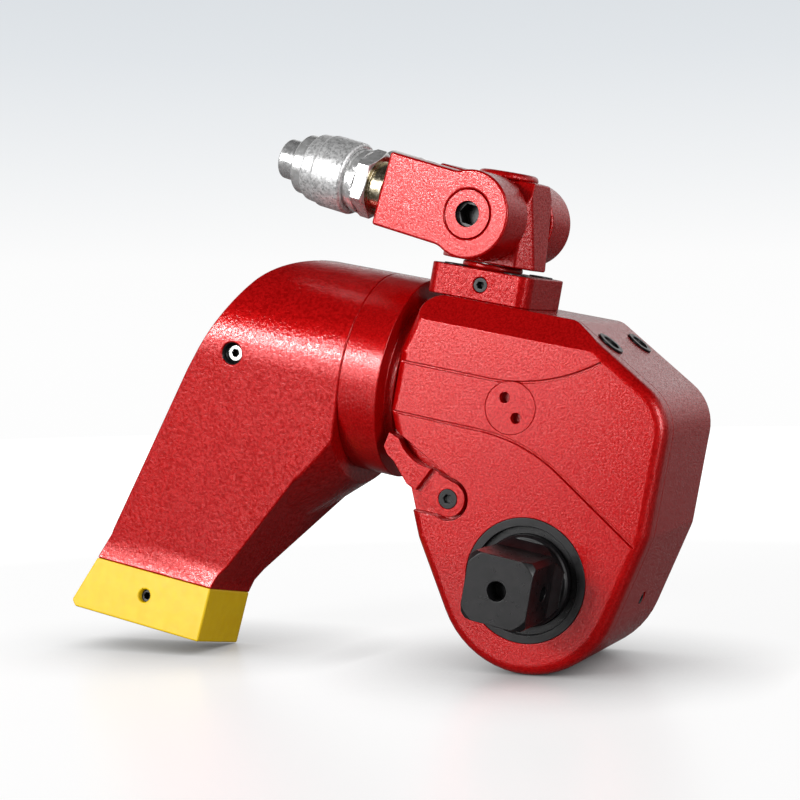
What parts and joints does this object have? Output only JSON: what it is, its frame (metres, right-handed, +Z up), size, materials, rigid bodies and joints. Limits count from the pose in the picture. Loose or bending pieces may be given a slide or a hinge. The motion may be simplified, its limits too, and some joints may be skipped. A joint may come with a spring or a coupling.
{
  "type": "hydraulic torque wrench",
  "caption": "Square-drive hydraulic torque wrench: ratchet body, splined reaction arm with a foot boot, and a two-axis hose swivel with tilting coupler arms.",
  "frame": {"origin": "on the drive axis, at the front face of the body, where the square drive's shoulder is", "axes": "-Y along the square drive, out of the front face; +X from the reaction arm to the drive along the floor; +Z up from the floor that the nose and the boot stand on"},
  "size_m": [0.2567, 0.1053, 0.2101],
  "materials": {
    "red_anodised": "red anodised, fine satin grain",
    "red_painted_bolt": "red paint, satin",
    "bright_steel": "turned and ground",
    "black_oxide": "black oxide",
    "worn_zinc": "zinc plated, worn",
    "bronze": "turned bronze",
    "rubber_seal": "matt",
    "yellow_boot": "moulded, satin"
  },
  "bodies": {
    "wrench_body": {"main_housing": "red_anodised", "side_cover": "red_anodised", "cover_screws": "black_oxide", "pin_access_plug": "red_anodised", "front_drive_bush": "black_oxide", "rear_drive_bush": "bronze", "cylinder_end_cap": "bright_steel", "end_cap_seal": "rubber_seal", "rod_gland": "bronze", "rod_seal": "rubber_seal", "handle_hole_plugs": "black_oxide", "nose_set_screw": "black_oxide", "swivel_base": "red_anodised", "swivel_base_screws": "black_oxide", "swivel_base_set_screw": "black_oxide", "swivel_post": "bright_steel", "post_seals": "rubber_seal", "thrust_washer": "bright_steel", "post_retaining_ring": "bright_steel"},
    "reaction_arm": {"reaction_arm": "red_anodised", "reaction_boot": "yellow_boot", "boot_screw": "black_oxide", "arm_lock_screw": "black_oxide"},
    "piston": {"piston": "bright_steel", "piston_seal": "rubber_seal", "piston_rod": "bright_steel", "piston_nut": "bright_steel"},
    "drive_plates": {"front_drive_plate": "bright_steel", "rear_drive_plate": "bright_steel", "rod_pin": "bright_steel", "pawl_pin": "bright_steel", "pawl_spring": "bright_steel"},
    "drive_pawl": {"drive_pawl": "bright_steel"},
    "drive": {"square_drive": "black_oxide", "ratchet_wheel": "bright_steel", "drive_retainer_cap": "black_oxide", "button_spring": "bright_steel"},
    "retainer_button": {"retainer_button": "bright_steel"},
    "release_lever": {"release_lever": "red_anodised", "lever_screw": "black_oxide", "lever_shaft": "bright_steel", "holding_pawl": "bright_steel", "lever_spring": "bright_steel"},
    "hose_swivel": {"swivel_block": "red_anodised", "swivel_cap": "red_anodised", "front_pivot_bolt": "red_painted_bolt", "rear_pivot_bolt": "red_painted_bolt"},
    "front_hose_arm": {"front_hose_arm": "red_anodised", "front_coupler": "worn_zinc"},
    "rear_hose_arm": {"rear_hose_arm": "red_anodised", "rear_nipple": "worn_zinc"},
    "coupler_sleeve": {"coupler_sleeve": "worn_zinc"}
  },
  "joints": [
    {"name": "drive_plate_swing", "type": "hinge", "parent": "wrench_body", "child": "drive_plates", "pos_m": [0, 0.035, 0], "axis": [0, 1, 0], "range_deg": [0, 24.9]},
    {"name": "piston_stroke", "type": "slide", "parent": "wrench_body", "child": "piston", "axis": [0.9803, 0, -0.1977], "range_m": [0, 0.028]},
    {"name": "drive_pawl_click", "type": "hinge", "parent": "drive_plates", "child": "drive_pawl", "pos_m": [0.00468, 0.035, 0.04174], "axis": [0, -1, 0], "range_deg": [0, 8], "stiffness_Nm_per_rad": 0.3, "springref_deg": -8.59},
    {"name": "drive_turn", "type": "hinge", "parent": "wrench_body", "child": "drive", "pos_m": [0, 0.035, 0], "axis": [0, 1, 0], "continuous": true},
    {"name": "button_press", "type": "slide", "parent": "drive", "child": "retainer_button", "axis": [0, -1, 0], "range_m": [0, 0.0025], "stiffness_N_per_m": 800, "springref_m": -0.001},
    {"name": "release_lever_turn", "type": "hinge", "parent": "wrench_body", "child": "release_lever", "pos_m": [-0.03078, 0.035, 0.02998], "axis": [0, -1, 0], "range_deg": [0, 12], "stiffness_Nm_per_rad": 0.6, "springref_deg": -11.46},
    {"name": "reaction_arm_pull", "type": "slide", "parent": "wrench_body", "child": "reaction_arm", "axis": [-0.9803, 0, 0.1977], "range_m": [0, 0.053]},
    {"name": "swivel_turn", "type": "hinge", "parent": "wrench_body", "child": "hose_swivel", "pos_m": [-0.02452, 0.035, 0.11818], "axis": [0.1977, 0, 0.9803], "continuous": true},
    {"name": "front_hose_arm_tilt", "type": "hinge", "parent": "hose_swivel", "child": "front_hose_arm", "pos_m": [-0.02056, 0.035, 0.13779], "axis": [0.0684, 0.9976, -0.0138], "range_deg": [-13, 172]},
    {"name": "rear_hose_arm_tilt", "type": "hinge", "parent": "hose_swivel", "child": "rear_hose_arm", "pos_m": [-0.02056, 0.035, 0.13779], "axis": [0.0684, 0.9976, -0.0138], "range_deg": [-13, 172]},
    {"name": "sleeve_slide", "type": "slide", "parent": "front_hose_arm", "child": "coupler_sleeve", "axis": [0.9487, -0.0693, -0.3086], "range_m": [0, 0.002], "stiffness_N_per_m": 500, "springref_m": -0.003}
  ],
  "couplings": [
    {"joint": "piston_stroke", "follows": "drive_plate_swing", "m_per_rad": 0.0643}
  ]
}
